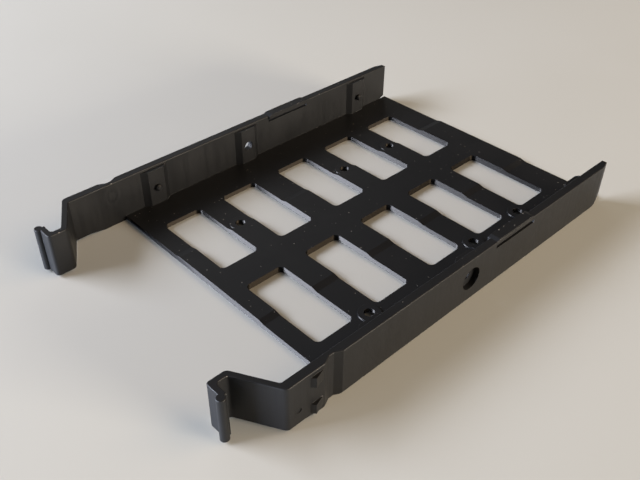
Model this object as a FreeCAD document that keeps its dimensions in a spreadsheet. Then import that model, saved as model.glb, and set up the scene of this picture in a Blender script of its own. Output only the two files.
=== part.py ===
# Hard drive caddy: one moulded plastic tray that carries a 3.5 inch drive on side pegs,
# or a 2.5 inch drive screwed to its base.
# Axes: +X to the right seen from the handles, +Y to the rear, +Z up.
# Sketches are drawn with Y = 0 at the base plate's front edge, for the right half of the tray.

import FreeCAD, Part
import math
import os
import Sketcher

doc = FreeCAD.newDocument("HardDriveCaddy")

# Driving dimensions, in millimetres and degrees.
SIZES = [
    ("drive_width", 101.6, "3.5 inch drive"),
    ("drive_play", 0.3, "between the drive and each pad"),
    ("peg_front", 13.3, "first peg behind the plate's front edge"),
    ("peg_to_screw", 41.6, "first to second side hole of a 3.5 inch drive"),
    ("peg_to_peg", 101.6, "first to third side hole of a 3.5 inch drive"),
    ("peg_rise", 6.35, "side holes above the underside of a 3.5 inch drive"),
    ("peg_diameter", 2.6, "peg, loose in a drive's side hole"),
    ("peg_length", 1.6, "peg, beyond its pad"),
    ("peg_break", 0.5, "chamfered peg tip"),
    ("pad_depth", 1.55, "drive pad, inward from the wall"),
    ("pad_flat", 6.4, "flat face of a drive pad, along Y"),
    ("pad_ramp", 2.2, "slope at each end of a drive pad"),
    ("pad_drop", 0.8, "pad top below the wall top"),
    ("screw_hole", 3.6, "clearance hole for a drive screw"),
    ("screw_head", 8.0, "recess for the screw head"),
    ("screw_seat", 2.5, "plastic left under the screw head"),
    ("tray_tail", 19.3, "base plate behind the rear pegs"),
    ("plate_thick", 1.7, "base plate"),
    ("strip_width", 40.0, "raised centre strip, across its top"),
    ("strip_rise", 0.6, "centre strip and screw bosses stand this far above the plate"),
    ("strip_ramp", 2.5, "slope at each side of the centre strip"),
    ("wall_thick", 3.0, "side wall"),
    ("wall_height", 16.6, "side wall, from the surface the tray stands on"),
    ("wall_setback", 1.0, "side walls stop short of the plate's rear edge"),
    ("ssd_across", 61.72, "base holes of a 2.5 inch drive, along X"),
    ("ssd_along", 76.6, "base holes of a 2.5 inch drive, along Y"),
    ("ssd_front", 26.45, "first pair of base holes behind the plate's front edge"),
    ("ssd_shift", 9.47, "middle of the base holes, right of the tray's centre"),
    ("ssd_hole", 3.5, "base hole"),
    ("ssd_boss", 7.4, "round boss at a base hole"),
    ("ssd_head", 6.6, "recess for a screw head under a base hole"),
    ("ssd_seat", 1.3, "plastic left above that recess"),
    ("window_gap", 11.4, "rib between the two columns of windows"),
    ("window_side", 13.95, "plate between a window and the wall"),
    ("window_width", 15.1, "window, along Y"),
    ("window_bar", 9.8, "plate between two windows, at a row of base holes"),
    ("window_margin", 8.0, "least plate behind the last window"),
    ("window_round", 1.8, "window corner radius"),
    ("lip_behind", 11.5, "front end of the retaining lip, behind the drive screw"),
    ("lip_length", 20.2, "retaining lip, along Y"),
    ("lip_reach", 0.7, "retaining lip, inward from the wall"),
    ("lip_rise", 0.5, "retaining lip, above the wall's top"),
    ("lip_drop", 1.25, "underside of the lip below the wall's top"),
    ("lip_ramp", 1.5, "slope at each end of the lip"),
    ("lip_slot", 1.3, "slot through the wall under the lip"),
    ("leadin_length", 4.0, "taper on the outside of the wall's rear end, along Y"),
    ("leadin_depth", 1.1, "the same taper, along X"),
    ("heel_length", 6.5, "sloped heel under the wall's rear end, along Y"),
    ("heel_rise", 2.6, "the same slope, along Z"),
    ("arm_length", 19.4, "spring arm, plate front edge to the bend's inner corner"),
    ("arm_lift", 0.9, "underside of the arm's front and of the handle above the surface"),
    ("lift_start", 8.5, "arm's underside begins to rise in front of the plate edge"),
    ("lift_run", 5.5, "length of that rise"),
    ("arm_overlap", 2.0, "arm profile runs back into the wall"),
    ("hinge_thin", 1.25, "groove that thins the arm's root, taken off its outside"),
    ("hinge_start", 0.3, "groove begins in front of the plate edge"),
    ("hinge_ramp", 2.3, "slope down to the groove's floor"),
    ("hinge_flat", 1.7, "floor of the groove"),
    ("hinge_runout", 2.6, "slope up from the groove's floor"),
    ("handle_angle", 29.5, "inward sweep of the handle plate, from X"),
    ("handle_thick", 1.95, "handle plate, finger tab and tab lip"),
    ("handle_inset", 12.75, "finger tab's inner face, inward of the wall's"),
    ("hook_gap", 3.4, "finger hook, handle plate to tab lip at the tab"),
    ("lip_outreach", 7.75, "tab lip, from the tab's inner face to its tip"),
    ("bead_diameter", 2.7, "rounded bead at the tab lip's tip"),
    ("bend_round", 1.7, "outer radius at the bends"),
    ("crook_round", 1.1, "inner radius at the bends"),
    ("catch_back", 7.3, "rear end of a catch in front of the plate edge"),
    ("catch_slope", 3.7, "catch's slope, along Y"),
    ("catch_face", 1.1, "catch's front face, along Y"),
    ("catch_proud", 1.25, "catch tip outside the arm's face"),
    ("catch_height", 3.5, "catch, along Z"),
    ("catch_margin", 1.5, "catches, from the arm's top and from the surface"),
    ("gate_diameter", 1.9, "round mould mark on the arm"),
    ("gate_depth", 0.25, "mould mark"),
    ("gate_back", 3.3, "mould mark behind the bend's inner corner"),
    ("gate_rise", 5.8, "mould mark above the surface"),
    ("edge_break", 0.4, "chamfer along the wall's outer bottom edge"),
    ("edge_soft", 0.3, "rounding along the top edges"),
    ("cut_clear", 1.0, "through cuts run on past the far face"),
]

sheet = doc.addObject("Spreadsheet::Sheet", "Sizes")
for row, (alias, value, note) in enumerate(SIZES, start=1):
    sheet.set(f"A{row}", note)
    sheet.set(f"B{row}", str(value))
    sheet.setAlias(f"B{row}", alias)
doc.recompute()

body = doc.addObject("PartDesign::Body", "CaddyTray")
body.Label = "caddy_tray"

# Places worked out from the driving dimensions.
padFace = "(Sizes.drive_width / 2 + Sizes.drive_play)"
wallIn = f"({padFace} + Sizes.pad_depth)"
wallOut = f"({wallIn} + Sizes.wall_thick)"
wallMid = f"({wallIn} + Sizes.wall_thick / 2)"
screwRow = "(Sizes.peg_front + Sizes.peg_to_screw)"
rearPegRow = "(Sizes.peg_front + Sizes.peg_to_peg)"
trayLength = f"({rearPegRow} + Sizes.tray_tail)"
wallEnd = f"({trayLength} - Sizes.wall_setback)"
seatPlane = "(Sizes.plate_thick + Sizes.strip_rise)"
pegHeight = f"({seatPlane} + Sizes.peg_rise)"
ssdMiddle = "(Sizes.ssd_front + Sizes.ssd_along * 2 / 3)"
ssdRows = ("Sizes.ssd_front", ssdMiddle, "(Sizes.ssd_front + Sizes.ssd_along)")
ssdColumns = ("(Sizes.ssd_shift - Sizes.ssd_across / 2)", "(Sizes.ssd_shift + Sizes.ssd_across / 2)")
tabIn = f"({wallIn} - Sizes.handle_inset)"
tabOut = f"({tabIn} + Sizes.handle_thick)"
sweep = "tan(Sizes.handle_angle * 1 deg)"
plateSkew = "(Sizes.handle_thick / cos(Sizes.handle_angle * 1 deg))"


def number(expression):
    value = sheet.evalExpression(expression)
    return float(getattr(value, "Value", value))


# Y of the handle plate's inner and outer faces at a given X.
def handleInner(x):
    return f"(-Sizes.arm_length - ({wallIn} - {x}) * {sweep})"


def handleOuter(x):
    return f"({handleInner(x)} - {plateSkew})"


beadRadius = "(Sizes.bead_diameter / 2)"
beadX = f"({tabIn} + Sizes.lip_outreach - {beadRadius})"
tabLipBack = f"({handleOuter(tabOut)} - Sizes.hook_gap)"
beadY = f"({tabLipBack} - Sizes.handle_thick)"
handleReach = f"({beadRadius} - {beadY})"


def originFeature(role):
    return next(item for item in body.Origin.OriginFeatures if item.Role == role)


# A sketch on one of the body's own origin planes, lifted along the plane's normal.
def sketchOn(role, name, lift=None):
    sketch = body.newObject("Sketcher::SketchObject", name)
    sketch.AttachmentSupport = [(originFeature(role), "")]
    sketch.MapMode = "FlatFace"
    if lift:
        sketch.setExpression("AttachmentOffset.Base.z", lift)
    return sketch


# Fixes a sketch point by two expressions.
def pin(sketch, geometry, point, x, y):
    for kind, expression in (("DistanceX", x), ("DistanceY", y)):
        rule = Sketcher.Constraint(kind, -1, 1, geometry, point, number(expression))
        index = sketch.addConstraint(rule)
        sketch.setExpression(f"Constraints[{index}]", expression)


# A closed outline of straight edges.
def drawOutline(sketch, corners):
    first = sketch.GeometryCount
    count = len(corners)
    points = [FreeCAD.Vector(number(x), number(y), 0) for x, y in corners]
    for i in range(count):
        sketch.addGeometry(Part.LineSegment(points[i], points[(i + 1) % count]))
    for i in range(count):
        following = first + (i + 1) % count
        sketch.addConstraint(Sketcher.Constraint("Coincident", first + i, 2, following, 1))
    for i, (x, y) in enumerate(corners):
        pin(sketch, first + i, 1, x, y)


def drawCircle(sketch, x, y, diameter):
    centre = FreeCAD.Vector(number(x), number(y), 0)
    radius = number(diameter) / 2
    circle = sketch.addGeometry(Part.Circle(centre, FreeCAD.Vector(0, 0, 1), radius))
    pin(sketch, circle, 3, x, y)
    index = sketch.addConstraint(Sketcher.Constraint("Diameter", circle, 2 * radius))
    sketch.setExpression(f"Constraints[{index}]", diameter)


# A rectangle whose corners are arcs tangent to its sides.
def drawRoundedRectangle(sketch, left, right, front, back, radius):
    first = sketch.GeometryCount
    x0, x1, y0, y1, r = (number(item) for item in (left, right, front, back, radius))
    up = FreeCAD.Vector(0, 0, 1)
    sides = [
        ((x0 + r, y0), (x1 - r, y0)),
        ((x1, y0 + r), (x1, y1 - r)),
        ((x1 - r, y1), (x0 + r, y1)),
        ((x0, y1 - r), (x0, y0 + r)),
    ]
    centres = [(x1 - r, y0 + r), (x1 - r, y1 - r), (x0 + r, y1 - r), (x0 + r, y0 + r)]
    quarter = math.pi / 2
    for (ax, ay), (bx, by) in sides:
        sketch.addGeometry(Part.LineSegment(FreeCAD.Vector(ax, ay, 0), FreeCAD.Vector(bx, by, 0)))
    for i, (cx, cy) in enumerate(centres):
        circle = Part.Circle(FreeCAD.Vector(cx, cy, 0), up, r)
        sketch.addGeometry(Part.ArcOfCircle(circle, (i - 1) * quarter, i * quarter))
    side = [first + i for i in range(4)]
    arc = [first + 4 + i for i in range(4)]
    for i in range(4):
        sketch.addConstraint(Sketcher.Constraint("Tangent", side[i], 2, arc[i], 1))
        sketch.addConstraint(Sketcher.Constraint("Tangent", arc[i], 2, side[(i + 1) % 4], 1))
    for i, kind in enumerate(("Horizontal", "Vertical", "Horizontal", "Vertical")):
        sketch.addConstraint(Sketcher.Constraint(kind, side[i]))
    for other in arc[1:]:
        sketch.addConstraint(Sketcher.Constraint("Equal", arc[0], other))
    rules = [
        (Sketcher.Constraint("Radius", arc[0], r), radius),
        (Sketcher.Constraint("DistanceX", -1, 1, side[3], 1, x0), left),
        (Sketcher.Constraint("DistanceX", -1, 1, side[1], 1, x1), right),
        (Sketcher.Constraint("DistanceY", -1, 1, side[0], 1, y0), front),
        (Sketcher.Constraint("DistanceY", -1, 1, side[2], 1, y1), back),
    ]
    for rule, expression in rules:
        index = sketch.addConstraint(rule)
        sketch.setExpression(f"Constraints[{index}]", expression)


def volume():
    return body.Shape.Volume if body.Tip else 0.0


# Adds the profile's solid to the body; every pad has to add plastic.
def pad(sketch, name, length, reverse=False):
    before = volume()
    feature = body.newObject("PartDesign::Pad", name)
    feature.Profile = sketch
    feature.setExpression("Length", length)
    feature.Reversed = reverse
    doc.recompute()
    assert volume() > before, f"{name} adds nothing"
    return feature


# Takes the profile's solid out of the body; every pocket has to remove plastic.
def pocket(sketch, name, depth):
    before = volume()
    feature = body.newObject("PartDesign::Pocket", name)
    feature.Profile = sketch
    feature.setExpression("Length", depth)
    doc.recompute()
    assert volume() < before, f"{name} cuts nothing"
    return feature


# Repeats a feature in a row along one of the body's axes.
def repeat(feature, name, role, length, count):
    pattern = body.newObject("PartDesign::LinearPattern", name)
    pattern.Originals = [feature]
    pattern.Direction = (originFeature(role), [""])
    pattern.setExpression("Length", length)
    pattern.setExpression("Occurrences", count)
    body.Tip = pattern
    doc.recompute()
    return pattern


# Names of the base shape's edges that pass a test.
def edgesWhere(feature, test):
    return [f"Edge{i}" for i, edge in enumerate(feature.Shape.Edges, start=1) if test(edge)]


def near(a, b):
    return abs(a - b) < 1e-4


# Upright edges of a feature that stand at a given X and Y.
def uprightsAt(feature, x, y):
    px, py = number(x), number(y)

    def test(edge):
        return all(near(v.X, px) and near(v.Y, py) for v in edge.Vertexes) and len(edge.Vertexes) == 2

    return edgesWhere(feature, test)


def dress(kind, name, feature, edges, sizeName, size):
    assert edges, f"{name} finds no edges"
    result = body.newObject(kind, name)
    result.Base = (feature, edges)
    result.setExpression(sizeName, size)
    body.Tip = result
    doc.recompute()
    return result


def roundEdges(name, feature, edges, radius):
    return dress("PartDesign::Fillet", name, feature, edges, "Radius", radius)


def chamferEdges(name, feature, edges, size):
    return dress("PartDesign::Chamfer", name, feature, edges, "Size", size)


# Base plate: the right half, carried a little past the middle so that the two halves knit.
plateSketch = sketchOn("XY_Plane", "PlateOutline")
knit = "(-Sizes.window_gap / 4)"
drawOutline(plateSketch, [
    (knit, "0"),
    (wallIn, "0"),
    (wallIn, trayLength),
    (knit, trayLength),
])
pad(plateSketch, "Plate", "Sizes.plate_thick")

# Raised centre strip with sloped sides.
stripSketch = sketchOn("XZ_Plane", "StripSection")
stripHalf = "(Sizes.strip_width / 2)"
stripFoot = f"({stripHalf} + Sizes.strip_ramp)"
drawOutline(stripSketch, [
    (knit, "Sizes.plate_thick / 2"),
    (stripFoot, "Sizes.plate_thick / 2"),
    (stripFoot, "Sizes.plate_thick"),
    (stripHalf, seatPlane),
    (knit, seatPlane),
])
pad(stripSketch, "CentreStrip", trayLength, reverse=True)

# Side wall, with a sloped heel under its rear end.
wallSketch = sketchOn("YZ_Plane", "WallOutline", wallIn)
drawOutline(wallSketch, [
    ("0", "0"),
    (f"({wallEnd} - Sizes.heel_length)", "0"),
    (wallEnd, "Sizes.heel_rise"),
    (wallEnd, "Sizes.wall_height"),
    ("0", "Sizes.wall_height"),
])
wall = pad(wallSketch, "SideWall", "Sizes.wall_thick")

# Taper on the outside of the wall's rear end, which leads the tray into its bay.
leadInSketch = sketchOn("XY_Plane", "LeadInCut", "Sizes.wall_height")
drawOutline(leadInSketch, [
    (wallOut, f"({wallEnd} - Sizes.leadin_length)"),
    (f"({wallOut} + Sizes.cut_clear)", f"({wallEnd} - Sizes.leadin_length)"),
    (f"({wallOut} + Sizes.cut_clear)", f"({wallEnd} + Sizes.cut_clear)"),
    (f"({wallOut} - Sizes.leadin_depth)", f"({wallEnd} + Sizes.cut_clear)"),
    (f"({wallOut} - Sizes.leadin_depth)", wallEnd),
])
pocket(leadInSketch, "LeadIn", "Sizes.wall_height")

# Spring arm and squeeze handle, drawn in plan: arm with a hinge groove across its outside,
# bend, handle plate, finger tab and tab lip.
armSketch = sketchOn("XY_Plane", "ArmOutline")
armCorners = {
    "bendInner": (wallIn, "(-Sizes.arm_length)"),
    "tabInner": (tabIn, handleInner(tabIn)),
    "tabFront": (tabIn, beadY),
    "lipFront": (beadX, beadY),
    "lipBack": (beadX, tabLipBack),
    "tabCrook": (tabOut, tabLipBack),
    "handleCrook": (tabOut, handleOuter(tabOut)),
    "bendOuter": (wallOut, handleOuter(wallOut)),
}
hingeFace = f"({wallOut} - Sizes.hinge_thin)"
hingeRear = "(-Sizes.hinge_start - Sizes.hinge_ramp)"
hingeFront = f"({hingeRear} - Sizes.hinge_flat)"
drawOutline(armSketch, [
    (wallIn, "Sizes.arm_overlap"),
    *armCorners.values(),
    (wallOut, f"({hingeFront} - Sizes.hinge_runout)"),
    (hingeFace, hingeFront),
    (hingeFace, hingeRear),
    (wallOut, "(-Sizes.hinge_start)"),
    (wallOut, "Sizes.arm_overlap"),
])
arm = pad(armSketch, "ArmAndHandle", "Sizes.wall_height")


def armUprights(feature, *names):
    return [edge for name in names for edge in uprightsAt(feature, *armCorners[name])]


bends = roundEdges("Bends", arm, armUprights(arm, "tabInner", "bendOuter"), "Sizes.bend_round")
crookNames = ("bendInner", "tabFront", "tabCrook", "handleCrook")
roundEdges("Crooks", bends, armUprights(bends, *crookNames), "Sizes.crook_round")

# The arm's underside rises towards the handle, which is held clear of the surface.
liftSketch = sketchOn("YZ_Plane", "LiftOutline", f"{wallOut} + Sizes.cut_clear")
liftFar = f"(-{handleReach} - Sizes.cut_clear)"
drawOutline(liftSketch, [
    ("(-Sizes.lift_start)", "0"),
    ("(-Sizes.lift_start - Sizes.lift_run)", "Sizes.arm_lift"),
    (liftFar, "Sizes.arm_lift"),
    (liftFar, "(-Sizes.cut_clear)"),
    ("(-Sizes.lift_start)", "(-Sizes.cut_clear)"),
])
pocket(liftSketch, "ArmLift", f"{wallOut} + Sizes.cut_clear")

# Rounded bead along the tip of the tab lip: three quarters of a circle about the tip's front corner,
# closed by two lines inside the lip.
beadSketch = sketchOn("XY_Plane", "BeadOutline", "Sizes.arm_lift")
middle = FreeCAD.Vector(number(beadX), number(beadY), 0)
radius = number(beadRadius)
corner = middle + FreeCAD.Vector(-radius, radius, 0)
circle = Part.Circle(middle, FreeCAD.Vector(0, 0, 1), radius)
arc = beadSketch.addGeometry(Part.ArcOfCircle(circle, math.pi, 2.5 * math.pi))
back = beadSketch.addGeometry(Part.LineSegment(middle + FreeCAD.Vector(0, radius, 0), corner))
inner = beadSketch.addGeometry(Part.LineSegment(corner, middle + FreeCAD.Vector(-radius, 0, 0)))
for rule in (("Coincident", arc, 2, back, 1), ("Coincident", back, 2, inner, 1), ("Coincident", inner, 2, arc, 1),
             ("Horizontal", back), ("Vertical", inner), ("Vertical", arc, 2, arc, 3), ("Horizontal", arc, 1, arc, 3)):
    beadSketch.addConstraint(Sketcher.Constraint(*rule))
pin(beadSketch, arc, 3, beadX, beadY)
beadRule = beadSketch.addConstraint(Sketcher.Constraint("Radius", arc, radius))
beadSketch.setExpression(f"Constraints[{beadRule}]", beadRadius)
pad(beadSketch, "TabLipBead", "Sizes.wall_height - Sizes.arm_lift")

# Two catches, one above the other, on the outside of the arm.
catchSketch = sketchOn("XY_Plane", "CatchOutline", "Sizes.catch_margin")
catchTip = "(-Sizes.catch_back - Sizes.catch_slope)"
catchFront = f"({catchTip} - Sizes.catch_face)"
drawOutline(catchSketch, [
    (wallMid, catchFront),
    (wallOut, catchFront),
    (f"({wallOut} + Sizes.catch_proud)", catchTip),
    (wallOut, "(-Sizes.catch_back)"),
    (wallMid, "(-Sizes.catch_back)"),
])
catch = pad(catchSketch, "LowerCatch", "Sizes.catch_height")
repeat(catch, "Catches", "Z_Axis", "Sizes.wall_height - 2 * Sizes.catch_margin - Sizes.catch_height", "2")

# Round mould mark on the outside of the arm.
gateSketch = sketchOn("YZ_Plane", "GateOutline", wallOut)
drawCircle(gateSketch, "(Sizes.gate_back - Sizes.arm_length)", "Sizes.gate_rise", "Sizes.gate_diameter")
gate = pocket(gateSketch, "GateMark", "Sizes.gate_depth")


# Softened top edges of the wall, arm and handle.
def isTopEdge(edge):
    return all(near(v.Z, number("Sizes.wall_height")) for v in edge.Vertexes)


topEdges = roundEdges("TopEdges", gate, edgesWhere(gate, isTopEdge), "Sizes.edge_soft")


# Chamfer along the wall's outer bottom edge.
def isWallFoot(edge):
    alongWall = edge.Length > number(trayLength) / 2
    return alongWall and all(near(v.X, number(wallOut)) and near(v.Z, 0) for v in edge.Vertexes)


chamferEdges("WallFoot", topEdges, edgesWhere(topEdges, isWallFoot), "Sizes.edge_break")

# Three drive pads on the inside of the wall, sloped at both ends.
padSketch = sketchOn("XY_Plane", "PadOutlines", "Sizes.plate_thick / 2")
padRoot = "(Sizes.pad_flat / 2 + Sizes.pad_ramp)"
for row in ("Sizes.peg_front", screwRow, rearPegRow):
    drawOutline(padSketch, [
        (wallMid, f"({row} - {padRoot})"),
        (wallMid, f"({row} + {padRoot})"),
        (wallIn, f"({row} + {padRoot})"),
        (padFace, f"({row} + Sizes.pad_flat / 2)"),
        (padFace, f"({row} - Sizes.pad_flat / 2)"),
        (wallIn, f"({row} - {padRoot})"),
    ])
pad(padSketch, "DrivePads", "Sizes.wall_height - Sizes.pad_drop - Sizes.plate_thick / 2")

# Pegs that enter the drive's first and third side holes.
pegSketch = sketchOn("YZ_Plane", "PegOutlines", wallIn)
for row in ("Sizes.peg_front", rearPegRow):
    drawCircle(pegSketch, row, pegHeight, "Sizes.peg_diameter")
pegs = pad(pegSketch, "Pegs", "Sizes.pad_depth + Sizes.peg_length", reverse=True)


def isPegTip(edge):
    return all(near(v.X, number(f"{padFace} - Sizes.peg_length")) for v in edge.Vertexes)


chamferEdges("PegTips", pegs, edgesWhere(pegs, isPegTip), "Sizes.peg_break")

# Screw hole at the drive's second side hole, with a recess for the screw head outside.
screwSketch = sketchOn("YZ_Plane", "ScrewOutline", wallOut)
drawCircle(screwSketch, screwRow, pegHeight, "Sizes.screw_hole")
pocket(screwSketch, "ScrewHole", "Sizes.wall_thick + Sizes.pad_depth + Sizes.cut_clear")
headSketch = sketchOn("YZ_Plane", "HeadOutline", wallOut)
drawCircle(headSketch, screwRow, pegHeight, "Sizes.screw_head")
pocket(headSketch, "ScrewHead", "Sizes.wall_thick + Sizes.pad_depth - Sizes.screw_seat")

# Retaining lip along the wall's top, with sloped ends, and the slot through the wall under it.
lipFront = f"({screwRow} + Sizes.lip_behind)"
lipEnd = f"({lipFront} + Sizes.lip_length)"
lipTop = "(Sizes.wall_height + Sizes.lip_rise)"
slotTop = "(Sizes.wall_height - Sizes.lip_drop)"
slotBottom = f"({slotTop} - Sizes.lip_slot)"
lipSketch = sketchOn("YZ_Plane", "LipOutline", f"{wallOut} - Sizes.edge_soft / 2")
drawOutline(lipSketch, [
    (lipFront, slotTop),
    (lipEnd, slotTop),
    (lipEnd, "Sizes.wall_height"),
    (f"({lipEnd} - Sizes.lip_ramp)", lipTop),
    (f"({lipFront} + Sizes.lip_ramp)", lipTop),
    (lipFront, "Sizes.wall_height"),
])
pad(lipSketch, "RetainingLip", "Sizes.wall_thick - Sizes.edge_soft / 2 + Sizes.lip_reach", reverse=True)
slotSketch = sketchOn("YZ_Plane", "SlotOutline", wallOut)
drawOutline(slotSketch, [
    (lipFront, slotBottom),
    (lipEnd, slotBottom),
    (lipEnd, slotTop),
    (lipFront, slotTop),
])
pocket(slotSketch, "LipSlot", "Sizes.wall_thick + Sizes.cut_clear")

# Windows through the base plate, before and behind the first two rows of base holes,
# and then at an even pitch for as long as the plate has room.
windowLeft = "(Sizes.window_gap / 2)"
windowRight = f"({wallIn} - Sizes.window_side)"
windowPitch = "(Sizes.window_width + Sizes.window_bar)"
windowFronts = [
    f"({ssdRows[0]} - Sizes.window_bar / 2 - Sizes.window_width)",
    f"({ssdRows[0]} + Sizes.window_bar / 2)",
    f"({ssdRows[1]} - Sizes.window_bar / 2 - Sizes.window_width)",
    f"({ssdRows[1]} + Sizes.window_bar / 2)",
]


def cutWindows(name, fronts):
    sketch = sketchOn("XY_Plane", f"{name}Outline", f"{seatPlane} + Sizes.cut_clear")
    for front in fronts:
        back = f"({front} + Sizes.window_width)"
        drawRoundedRectangle(sketch, windowLeft, windowRight, front, back, "Sizes.window_round")
    return pocket(sketch, name, f"{seatPlane} + 2 * Sizes.cut_clear")


cutWindows("FrontWindows", windowFronts[:3])
rearWindow = cutWindows("RearWindow", windowFronts[3:])
rearRoom = f"({trayLength} - Sizes.window_margin - {windowFronts[3]} - Sizes.window_width)"
rearCount = f"(floor({rearRoom} / {windowPitch}) + 1)"
if number(rearCount) > 1:
    repeat(rearWindow, "RearWindows", "Y_Axis", f"{windowPitch} * ({rearCount} - 1)", rearCount)

# The left half is the mirror image of the right one.
mirrored = body.newObject("PartDesign::Mirrored", "BothHalves")
mirrored.TransformMode = "Whole shape"
mirrored.MirrorPlane = (originFeature("YZ_Plane"), [""])
body.Tip = mirrored
doc.recompute()

# Bosses and holes for a 2.5 inch drive, set to the right of the tray's centre,
# each with a recess below for its screw's head.
bossSketch = sketchOn("XY_Plane", "BossOutlines", "Sizes.plate_thick / 2")
holeSketch = sketchOn("XY_Plane", "BaseHoleOutlines", f"{seatPlane} + Sizes.cut_clear")
recessSketch = sketchOn("XY_Plane", "RecessOutlines", f"{seatPlane} - Sizes.ssd_seat")
for x in ssdColumns:
    for y in ssdRows:
        drawCircle(bossSketch, x, y, "Sizes.ssd_boss")
        drawCircle(holeSketch, x, y, "Sizes.ssd_hole")
        drawCircle(recessSketch, x, y, "Sizes.ssd_head")
pad(bossSketch, "ScrewBosses", f"{seatPlane} - Sizes.plate_thick / 2")
pocket(holeSketch, "BaseHoles", f"{seatPlane} + 2 * Sizes.cut_clear")
pocket(recessSketch, "HeadRecesses", f"{seatPlane} - Sizes.ssd_seat + Sizes.cut_clear")

# The row's origin is under the middle of the whole tray, handles included.
body.setExpression("Placement.Base.y", f"({handleReach} - {trayLength}) / 2")
doc.recompute()

for item in doc.Objects:
    assert "Invalid" not in item.State and "Error" not in item.State, f"{item.Name}: {item.State}"
shape = body.Shape
assert not shape.isNull() and shape.isValid() and len(shape.Solids) == 1, "the tray is not one sound solid"

os.makedirs("parts", exist_ok=True)
shape.exportStep(f"parts/{body.Label}.step")
box = shape.optimalBoundingBox()
print(f"{body.Label}: {box.XLength:.2f} x {box.YLength:.2f} x {box.ZLength:.2f} mm, {shape.Volume:.0f} mm3")
print(f"y {box.YMin:.3f} to {box.YMax:.3f}, z {box.ZMin:.3f} to {box.ZMax:.3f}")
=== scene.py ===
import math

import bpy
from mathutils import Matrix, Vector

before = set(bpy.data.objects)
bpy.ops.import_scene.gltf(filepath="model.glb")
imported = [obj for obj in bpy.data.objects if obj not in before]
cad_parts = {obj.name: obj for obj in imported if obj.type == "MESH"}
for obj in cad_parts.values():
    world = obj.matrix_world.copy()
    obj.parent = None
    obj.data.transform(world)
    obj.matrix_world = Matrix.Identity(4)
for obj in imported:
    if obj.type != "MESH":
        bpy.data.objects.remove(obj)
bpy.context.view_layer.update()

scene = bpy.context.scene
scene.view_settings.view_transform = "Standard"
print("frame:", ", ".join(sorted(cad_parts)))

# a Mix node's sockets for colours go by number, because their names repeat
mixShare, mixFirst, mixSecond, mixedColour = 0, 6, 7, 2


def linearColour(hexValue):
    parts = [int(hexValue[i:i + 2], 16) / 255 for i in (1, 3, 5)]
    curve = [p / 12.92 if p <= 0.04045 else ((p + 0.055) / 1.055) ** 2.4 for p in parts]
    return (*curve, 1.0)


def metres(millimetres):
    return millimetres / 1000


def perMillimetre(size):
    return 1000.0 / size  # texture scale for a feature of this many millimetres


# adds one node, sets its properties, then fills or links its inputs
def addNode(tree, kind, inputs=None, **settings):
    made = tree.nodes.new(kind)
    for name, value in settings.items():
        setattr(made, name, value)
    for socket, value in (inputs or {}).items():
        if isinstance(value, bpy.types.NodeSocket):
            tree.links.new(value, made.inputs[socket])
        else:
            made.inputs[socket].default_value = value
    return made


def newMaterial(name):
    material = bpy.data.materials.new(name)
    material.use_nodes = True
    material.node_tree.nodes.clear()
    return material


# Black ABS, injection moulded in a spark-eroded tool: a satin skin with a fine even grain,
# softly uneven gloss where the melt flowed, faint upright drag lines on the walls,
# pale nicks along its thin edges and a little dust on what faces up. The cut edges
# round the base windows are smoother and sloped, so they flash pale in window light.
mouldedAbs = {
    "colour": "#17181a",
    "worn": "#8c8b8d",
    "dust": "#b4b0a9",
    "ior": 1.53,
    "sheen": 0.30,               # 0.5 is a polished face, and the grain leaves this much
    "roughness": (0.42, 0.56),
    "grain": 0.5,                # mm, a real 0.1 mm grain drawn coarse enough to show
    "grainHeight": 0.008,        # mm
    "grainStrength": 0.4,
    "flow": 16.0,                # mm, patches of gloss
    "flowLevels": (0.3, 0.7),    # noise levels that give the two roughnesses
    "drag": (1.3, 30.0),         # mm, width and length of the drag lines
    "dragGloss": 0.28,           # how far the lines change the roughness
    "dragFade": (0.3, 0.6),      # upward share of a face's direction where they fade out
    "noiseMiddle": 0.5,
    "softEdge": 0.15,            # mm, radius that the light sees on a moulded edge
    "edgeTurn": (0.985, 0.90),   # cosine of the turn where an edge begins and is full
    "nick": 2.2,                 # mm, spacing of nicks along an edge
    "nickLevels": (0.58, 0.66),  # noise levels where a nick begins and is full
    "speck": 2.1,                # mm, spacing of dust specks
    "speckSize": 0.10,           # share of that spacing
    "speckFade": (0.2, 0.6),     # upward share of a face's direction where dust settles
    "speckCover": 0.6,           # how much of the plastic a speck hides
    "plate": (50.0, -51.0, 2.35),  # mm, half width, front and top of the base plate
    "cutEdge": 0.3,              # upward share below which a face of the plate is a cut edge
    "lean": 0.9,                 # rise over run of the slope that the light sees there
    "edgeRoughness": 0.27,       # smoother there, where the two halves of the tool shut
    # an oval sink at the left arm's hinge, in mm, with faint rings in its gloss
    "sink": {"at": (-52.65, -53.5, 11.8), "size": (4.0, 5.4, 7.0), "rings": 16.0, "gloss": 0.08},
}


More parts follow.
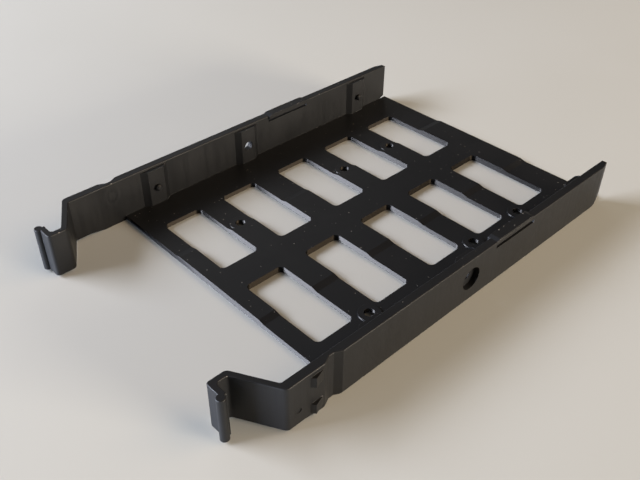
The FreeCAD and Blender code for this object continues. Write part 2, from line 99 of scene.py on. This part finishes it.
def makeMouldedAbs(look):
    material = newMaterial("injection_moulded_black_abs")
    tree = material.node_tree
    place = addNode(tree, "ShaderNodeTexCoord").outputs["Object"]
    face = addNode(tree, "ShaderNodeNewGeometry").outputs["Normal"]
    upward = addNode(tree, "ShaderNodeSeparateXYZ", {"Vector": face}).outputs["Z"]

    # gloss: broad flow patches, drag lines on upright faces, rings round the sink
    flow = addNode(tree, "ShaderNodeTexNoise", {
        "Vector": place, "Scale": perMillimetre(look["flow"]), "Detail": 3.0, "Distortion": 0.6})
    smooth, rough = look["roughness"]
    calm, busy = look["flowLevels"]
    patches = addNode(tree, "ShaderNodeMapRange", {
        "Value": flow.outputs["Fac"], "From Min": calm, "From Max": busy,
        "To Min": smooth, "To Max": rough})
    width, length = (perMillimetre(size) for size in look["drag"])
    stretched = addNode(tree, "ShaderNodeMapping", {
        "Vector": place, "Scale": (width, width, length)})
    drag = addNode(tree, "ShaderNodeTexNoise", {
        "Vector": stretched.outputs["Vector"], "Scale": 1.0, "Detail": 2.0})
    fadeFrom, fadeTo = look["dragFade"]
    dragDepth = addNode(tree, "ShaderNodeMapRange", {
        "Value": upward, "From Min": fadeFrom, "From Max": fadeTo,
        "To Min": look["dragGloss"], "To Max": 0.0})
    lines = addNode(tree, "ShaderNodeMath", {
        0: drag.outputs["Fac"], 1: -look["noiseMiddle"]}, operation="ADD")
    lines = addNode(tree, "ShaderNodeMath", {
        0: lines.outputs["Value"], 1: dragDepth.outputs["Result"], 2: patches.outputs["Result"]},
        operation="MULTIPLY_ADD")
    sink = look["sink"]
    sinkScale = tuple(perMillimetre(size) for size in sink["size"])
    sinkShift = tuple(-at / size for at, size in zip(sink["at"], sink["size"]))
    onSink = addNode(tree, "ShaderNodeMapping", {
        "Vector": place, "Scale": sinkScale, "Location": sinkShift})
    sinkFade = addNode(tree, "ShaderNodeTexGradient", {
        "Vector": onSink.outputs["Vector"]}, gradient_type="SPHERICAL")
    rings = addNode(tree, "ShaderNodeMath", {
        0: sinkFade.outputs["Fac"], 1: sink["rings"]}, operation="MULTIPLY")
    rings = addNode(tree, "ShaderNodeMath", {0: rings.outputs["Value"]}, operation="SINE")
    rings = addNode(tree, "ShaderNodeMath", {
        0: rings.outputs["Value"], 1: sinkFade.outputs["Fac"]}, operation="MULTIPLY")
    gloss = addNode(tree, "ShaderNodeMath", {
        0: rings.outputs["Value"], 1: sink["gloss"], 2: lines.outputs["Value"]},
        operation="MULTIPLY_ADD")

    # edges: where the rounded normal leaves the flat one, broken up into nicks
    soft = addNode(tree, "ShaderNodeBevel", {"Radius": metres(look["softEdge"])}, samples=6)
    turn = addNode(tree, "ShaderNodeVectorMath", {
        0: soft.outputs["Normal"], 1: face}, operation="DOT_PRODUCT")
    turnFrom, turnTo = look["edgeTurn"]
    edge = addNode(tree, "ShaderNodeMapRange", {
        "Value": turn.outputs["Value"], "From Min": turnFrom, "From Max": turnTo,
        "To Min": 0.0, "To Max": 1.0})
    nick = addNode(tree, "ShaderNodeTexNoise", {
        "Vector": place, "Scale": perMillimetre(look["nick"]), "Detail": 4.0, "Roughness": 0.65})
    nickFrom, nickTo = look["nickLevels"]
    nicked = addNode(tree, "ShaderNodeMapRange", {
        "Value": nick.outputs["Fac"], "From Min": nickFrom, "From Max": nickTo})
    worn = addNode(tree, "ShaderNodeMath", {
        0: edge.outputs["Result"], 1: nicked.outputs["Result"]}, operation="MULTIPLY")
    wornColour = addNode(tree, "ShaderNodeMix", {
        mixShare: worn.outputs["Value"], mixFirst: linearColour(look["colour"]),
        mixSecond: linearColour(look["worn"])}, data_type="RGBA")

    # dust: sparse specks of uneven size, only on what faces up
    speck = addNode(tree, "ShaderNodeTexVoronoi", {
        "Vector": place, "Scale": perMillimetre(look["speck"])})
    chance = addNode(tree, "ShaderNodeSeparateXYZ", {"Vector": speck.outputs["Color"]})
    reach = addNode(tree, "ShaderNodeMath", {
        0: chance.outputs["X"], 1: look["speckSize"]}, operation="MULTIPLY")
    inSpeck = addNode(tree, "ShaderNodeMath", {
        0: speck.outputs["Distance"], 1: reach.outputs["Value"]}, operation="LESS_THAN")
    settleFrom, settleTo = look["speckFade"]
    settled = addNode(tree, "ShaderNodeMapRange", {
        "Value": upward, "From Min": settleFrom, "From Max": settleTo, "To Max": look["speckCover"]})
    dusty = addNode(tree, "ShaderNodeMath", {
        0: inSpeck.outputs["Value"], 1: settled.outputs["Result"]}, operation="MULTIPLY")
    colour = addNode(tree, "ShaderNodeMix", {
        mixShare: dusty.outputs["Value"], mixFirst: wornColour.outputs[mixedColour],
        mixSecond: linearColour(look["dust"])}, data_type="RGBA")

    # cut edges: the base plate's upright faces, round its windows and holes and at its ends
    halfWidth, front, top = (metres(size) for size in look["plate"])
    spot = addNode(tree, "ShaderNodeSeparateXYZ", {"Vector": place}).outputs
    sideways = addNode(tree, "ShaderNodeMath", {0: spot["X"]}, operation="ABSOLUTE").outputs["Value"]
    tests = [
        addNode(tree, "ShaderNodeMath", {0: sideways, 1: halfWidth}, operation="LESS_THAN"),
        addNode(tree, "ShaderNodeMath", {0: spot["Y"], 1: front}, operation="GREATER_THAN"),
        addNode(tree, "ShaderNodeMath", {0: spot["Z"], 1: top}, operation="LESS_THAN"),
        addNode(tree, "ShaderNodeMath", {
            0: upward, 1: 0.0, 2: look["cutEdge"]}, operation="COMPARE"),
    ]
    onCut = tests[0].outputs["Value"]
    for test in tests[1:]:
        onCut = addNode(tree, "ShaderNodeMath", {
            0: onCut, 1: test.outputs["Value"]}, operation="MULTIPLY").outputs["Value"]
    roughness = addNode(tree, "ShaderNodeMapRange", {
        "Value": onCut, "To Min": gloss.outputs["Value"], "To Max": look["edgeRoughness"]})
    rise = addNode(tree, "ShaderNodeMath", {0: onCut, 1: look["lean"]}, operation="MULTIPLY")
    rise = addNode(tree, "ShaderNodeCombineXYZ", {"Z": rise.outputs["Value"]})
    sloped = addNode(tree, "ShaderNodeVectorMath", {
        0: soft.outputs["Normal"], 1: rise.outputs["Vector"]}, operation="ADD")
    sloped = addNode(tree, "ShaderNodeVectorMath", {
        0: sloped.outputs["Vector"]}, operation="NORMALIZE")

    grain = addNode(tree, "ShaderNodeTexNoise", {
        "Vector": place, "Scale": perMillimetre(look["grain"]), "Detail": 3.0, "Roughness": 0.6})
    bump = addNode(tree, "ShaderNodeBump", {
        "Height": grain.outputs["Fac"], "Strength": look["grainStrength"],
        "Distance": metres(look["grainHeight"]), "Normal": sloped.outputs["Vector"]})
    shader = addNode(tree, "ShaderNodeBsdfPrincipled", {
        "Base Color": colour.outputs[mixedColour], "IOR": look["ior"],
        "Specular IOR Level": look["sheen"], "Roughness": roughness.outputs["Result"],
        "Normal": bump.outputs["Normal"]})
    addNode(tree, "ShaderNodeOutputMaterial", {"Surface": shader.outputs["BSDF"]})
    return material


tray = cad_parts["caddy_tray"]
tray.data.materials.clear()
tray.data.materials.append(makeMouldedAbs(mouldedAbs))
print("tray: moulded black plastic")


# Matt laminate table top, off-white: broad soft tone with a very faint mottle.
tableTop = {
    "colour": "#d2d4d0",
    "shade": "#ced0cb",
    "roughness": 0.85,
    "sheen": 0.15,
    "mottle": 90.0,  # mm
    "reach": 4.0,    # m, side of the square
}


def makeTableTop(look):
    material = newMaterial("matt_white_laminate")
    tree = material.node_tree
    place = addNode(tree, "ShaderNodeTexCoord").outputs["Object"]
    mottle = addNode(tree, "ShaderNodeTexNoise", {
        "Vector": place, "Scale": perMillimetre(look["mottle"]), "Detail": 2.0})
    tone = addNode(tree, "ShaderNodeMix", {
        mixShare: mottle.outputs["Fac"], mixFirst: linearColour(look["colour"]),
        mixSecond: linearColour(look["shade"])}, data_type="RGBA")
    shader = addNode(tree, "ShaderNodeBsdfPrincipled", {
        "Base Color": tone.outputs[mixedColour], "Roughness": look["roughness"],
        "Specular IOR Level": look["sheen"]})
    addNode(tree, "ShaderNodeOutputMaterial", {"Surface": shader.outputs["BSDF"]})
    return material


bpy.ops.mesh.primitive_plane_add(size=tableTop["reach"], location=(0, 0, 0))
table = bpy.context.object
table.name = "table_top"
table.data.materials.append(makeTableTop(tableTop))
print("table: matt laminate")

# Soft daylight: a window to the front left with a bright low sill, a warm ceiling to the
# rear right, a pale wall to the rear left and a low warm lamp on the right. Places are in
# metres, each lamp faces the tray, and the room is a faint even light.
daylight = {
    "window": {"from": (-0.76, -0.80, 0.60), "size": (0.9, 0.42), "power": 21.0, "colour": "#ebeefb"},
    "sill": {"from": (-0.40, -1.10, 0.015), "size": (0.9, 0.026), "power": 42.0, "colour": "#dfe8fc"},
    "ceiling": {"from": (0.95, 0.85, 1.25), "size": (1.3, 1.0), "power": 11.0, "colour": "#ffdcb2"},
    "wall": {"from": (-1.25, 0.55, 0.80), "size": (1.2, 0.8), "power": 2.0, "colour": "#f4f2ee"},
    "lamp": {"from": (1.68, 0.55, 0.25), "size": (0.8, 0.35), "power": 43.0, "colour": "#fff1de"},
}
room = {"colour": "#dcdad6", "strength": 0.08}


def addLamp(name, look):
    data = bpy.data.lights.new(name, "AREA")
    data.shape = "RECTANGLE"
    data.size, data.size_y = look["size"]
    data.energy = look["power"]
    data.color = linearColour(look["colour"])[:3]
    lamp = bpy.data.objects.new(name, data)
    lamp.location = look["from"]
    lamp.rotation_euler = (-Vector(look["from"])).to_track_quat("-Z", "Y").to_euler()
    scene.collection.objects.link(lamp)


def lightRoom(look):
    world = bpy.data.worlds.new("room")
    scene.world = world
    world.use_nodes = True
    tree = world.node_tree
    tree.nodes.clear()
    glow = addNode(tree, "ShaderNodeBackground", {
        "Color": linearColour(look["colour"]), "Strength": look["strength"]})
    addNode(tree, "ShaderNodeOutputWorld", {"Surface": glow.outputs["Background"]})


for lampName, lampLook in daylight.items():
    addLamp(lampName, lampLook)
lightRoom(room)
print("light:", ", ".join(daylight), "and room")

# The photograph's view: from the front right, looking down on the tray.
view = {
    "azimuth": 46.054, "elevation": 37.918, "roll": 0.676,   # degrees
    "from": (0.14934, -0.149542, 0.159005), "nearest": 0.01,  # m
    "lens": 42.467, "sensor": 36.0,                           # mm
}


def addCamera(look):
    az, el, roll = (math.radians(look[key]) for key in ("azimuth", "elevation", "roll"))
    right = Vector((math.cos(az), math.sin(az), 0))
    up = Vector((-math.sin(az) * math.sin(el), math.cos(az) * math.sin(el), math.cos(el)))
    back = Vector((math.sin(az) * math.cos(el), -math.cos(az) * math.cos(el), math.sin(el)))
    across = right * math.cos(roll) + up * math.sin(roll)
    upright = up * math.cos(roll) - right * math.sin(roll)
    data = bpy.data.cameras.new("camera")
    data.sensor_fit = "HORIZONTAL"
    data.sensor_width = look["sensor"]
    data.lens = look["lens"]
    data.clip_start = look["nearest"]
    camera = bpy.data.objects.new("camera", data)
    turned = Matrix((across, upright, back)).transposed().to_4x4()
    camera.matrix_world = Matrix.Translation(look["from"]) @ turned
    scene.collection.objects.link(camera)
    scene.camera = camera


addCamera(view)
print("camera set")
